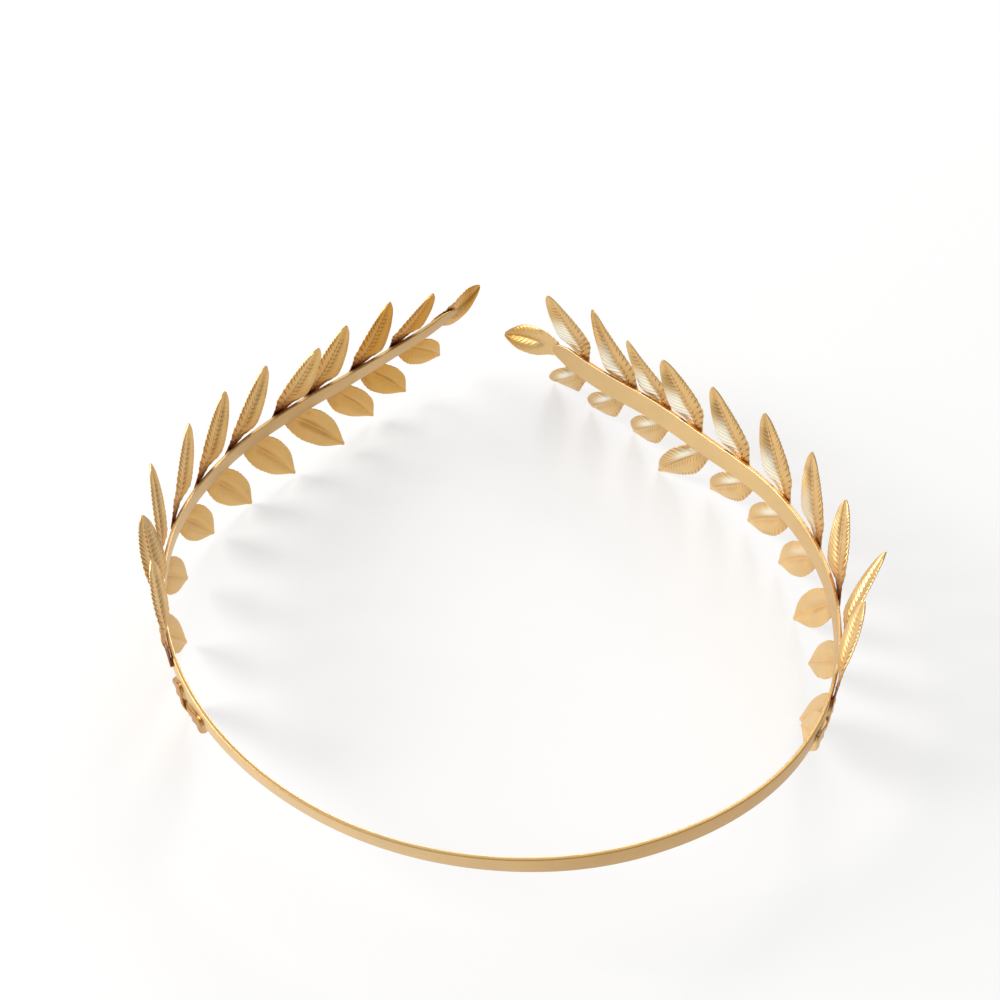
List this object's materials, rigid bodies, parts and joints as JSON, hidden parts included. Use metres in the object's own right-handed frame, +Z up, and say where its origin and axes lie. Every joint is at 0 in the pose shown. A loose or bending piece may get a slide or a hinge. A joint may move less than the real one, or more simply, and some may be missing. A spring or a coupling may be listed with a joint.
{
  "type": "leaf tiara",
  "caption": "Open ring of flat gold strip, plain at the back, with pairs of ribbed lance-shaped leaves along both sides and a leaf closing each end.",
  "frame": {"origin": "under the middle of the whole outline, on the surface that the tiara rests on", "axes": "+Z up, +Y towards the front of the head, where the ring is open, +X towards the wearer's right"},
  "size_m": [0.1598, 0.164, 0.0441],
  "materials": {
    "band_gold": "satin",
    "leaf_gold": "satin"
  },
  "bodies": {
    "root": {"band": "band_gold", "left_upper_leaf_01": "leaf_gold", "left_upper_leaf_02": "leaf_gold", "left_upper_leaf_03": "leaf_gold", "left_upper_leaf_04": "leaf_gold", "left_upper_leaf_05": "leaf_gold", "left_upper_leaf_06": "leaf_gold", "left_upper_leaf_07": "leaf_gold", "left_upper_leaf_08": "leaf_gold", "left_upper_leaf_09": "leaf_gold", "left_upper_leaf_10": "leaf_gold", "left_lower_leaf_01": "leaf_gold", "left_lower_leaf_02": "leaf_gold", "left_lower_leaf_03": "leaf_gold", "left_lower_leaf_04": "leaf_gold", "left_lower_leaf_05": "leaf_gold", "left_lower_leaf_06": "leaf_gold", "left_lower_leaf_07": "leaf_gold", "left_lower_leaf_08": "leaf_gold", "left_lower_leaf_09": "leaf_gold", "left_lower_leaf_10": "leaf_gold", "left_lower_leaf_11": "leaf_gold", "right_upper_leaf_01": "leaf_gold", "right_upper_leaf_02": "leaf_gold", "right_upper_leaf_03": "leaf_gold", "right_upper_leaf_04": "leaf_gold", "right_upper_leaf_05": "leaf_gold", "right_upper_leaf_06": "leaf_gold", "right_upper_leaf_07": "leaf_gold", "right_upper_leaf_08": "leaf_gold", "right_upper_leaf_09": "leaf_gold", "right_upper_leaf_10": "leaf_gold", "right_lower_leaf_01": "leaf_gold", "right_lower_leaf_02": "leaf_gold", "right_lower_leaf_03": "leaf_gold", "right_lower_leaf_04": "leaf_gold", "right_lower_leaf_05": "leaf_gold", "right_lower_leaf_06": "leaf_gold", "right_lower_leaf_07": "leaf_gold", "right_lower_leaf_08": "leaf_gold", "right_lower_leaf_09": "leaf_gold", "right_lower_leaf_10": "leaf_gold", "right_lower_leaf_11": "leaf_gold", "left_end_leaf": "leaf_gold", "right_end_leaf": "leaf_gold"}
  },
  "joints": []
}
